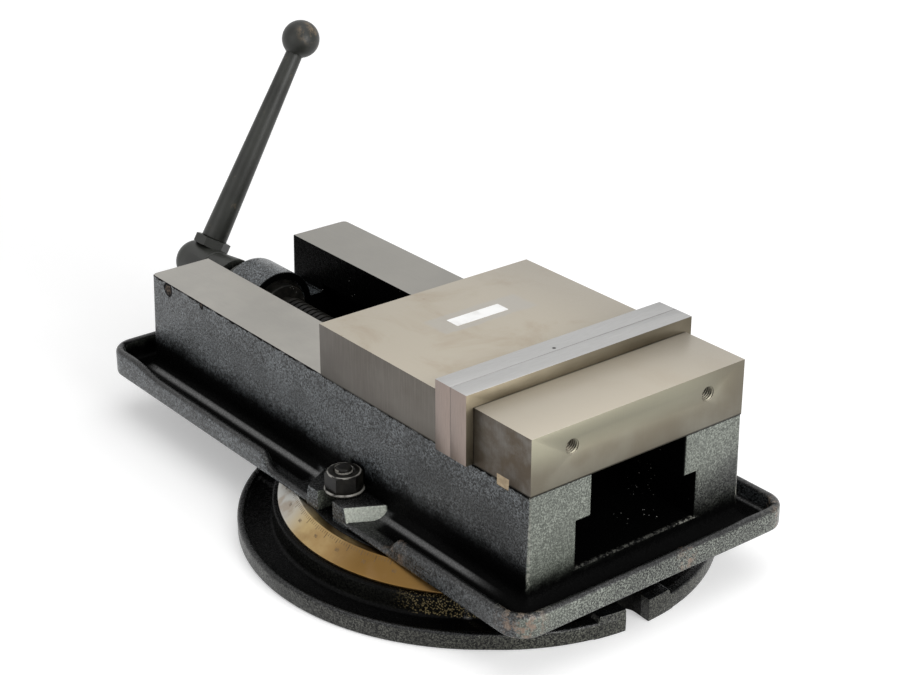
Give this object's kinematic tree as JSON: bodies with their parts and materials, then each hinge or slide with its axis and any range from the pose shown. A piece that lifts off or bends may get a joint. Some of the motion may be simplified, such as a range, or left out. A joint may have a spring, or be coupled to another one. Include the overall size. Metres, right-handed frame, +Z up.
{
  "type": "swivel machine vise",
  "caption": "Machine vise on a graduated swivel base, with a drip tray, ground ways, flat jaw plates, and a screw with a ball-ended crank that drives the pull-down movable jaw.",
  "frame": {"origin": "on the swivel axis, on the underside of the base", "axes": "+X along the ways towards the fixed jaw, -X towards the handle, +Z up"},
  "size_m": [0.5913, 0.354, 0.2744],
  "materials": {
    "cast_paint": "glossy black paint over a coarse sand casting, worn to brown at the corners",
    "brass": "turned, lightly tarnished",
    "ground_steel": "surface ground, with faint oil stains",
    "hardened_steel": "fine ground",
    "black_oxide": "satin black oxide",
    "bright_steel": "turned steel, oiled"
  },
  "bodies": {
    "base": {"swivel_base": "cast_paint", "graduated_ring": "brass", "pivot_pin": "bright_steel"},
    "bed": {"drip_tray": "cast_paint", "bed": "cast_paint", "inner_ways": "cast_paint", "screw_boss": "cast_paint", "fixed_jaw": "ground_steel", "fixed_jaw_keys": "brass", "fixed_jaw_bolts": "black_oxide", "fixed_jaw_plate": "hardened_steel", "fixed_plate_screws": "black_oxide", "clamp_bolts": "black_oxide", "clamp_washers": "black_oxide", "screw_bush": "brass", "thrust_washer_rear": "bright_steel", "thrust_cage": "brass", "thrust_balls": "bright_steel"},
    "nut_near": {"clamp_nut_near": "black_oxide"},
    "nut_far": {"clamp_nut_far": "black_oxide"},
    "jaw": {"movable_jaw": "ground_steel", "movable_jaw_plate": "hardened_steel", "movable_plate_screws": "black_oxide", "jaw_nut": "ground_steel", "half_ball": "bright_steel", "jaw_set_screw": "black_oxide"},
    "screw": {"lead_screw": "black_oxide", "thrust_washer_front": "bright_steel", "retaining_collar": "black_oxide", "collar_set_screw": "bright_steel", "handle_hub": "black_oxide", "lever_lock_nut": "black_oxide", "handle_lever": "black_oxide", "handle_ball": "black_oxide"}
  },
  "joints": [
    {"name": "swivel", "type": "hinge", "parent": "base", "child": "bed", "pos_m": [0, 0, 0.036], "axis": [0, 0, 1], "continuous": true},
    {"name": "screw_turn", "type": "hinge", "parent": "bed", "child": "screw", "pos_m": [-0.3, 0, 0.079], "axis": [-1, 0, 0], "range_deg": [0, 11880]},
    {"name": "jaw_slide", "type": "slide", "parent": "bed", "child": "jaw", "axis": [-1, 0, 0], "range_m": [0, 0.1985]},
    {"name": "nut_near_turn", "type": "hinge", "parent": "bed", "child": "nut_near", "pos_m": [-0.0185, -0.107, 0.06025], "axis": [0, 0, 1], "range_deg": [0, 180]},
    {"name": "nut_far_turn", "type": "hinge", "parent": "bed", "child": "nut_far", "pos_m": [-0.0185, 0.107, 0.06025], "axis": [0, 0, 1], "range_deg": [0, 180]}
  ],
  "couplings": [
    {"joint": "jaw_slide", "follows": "screw_turn", "m_per_rad": 0.00095493}
  ]
}
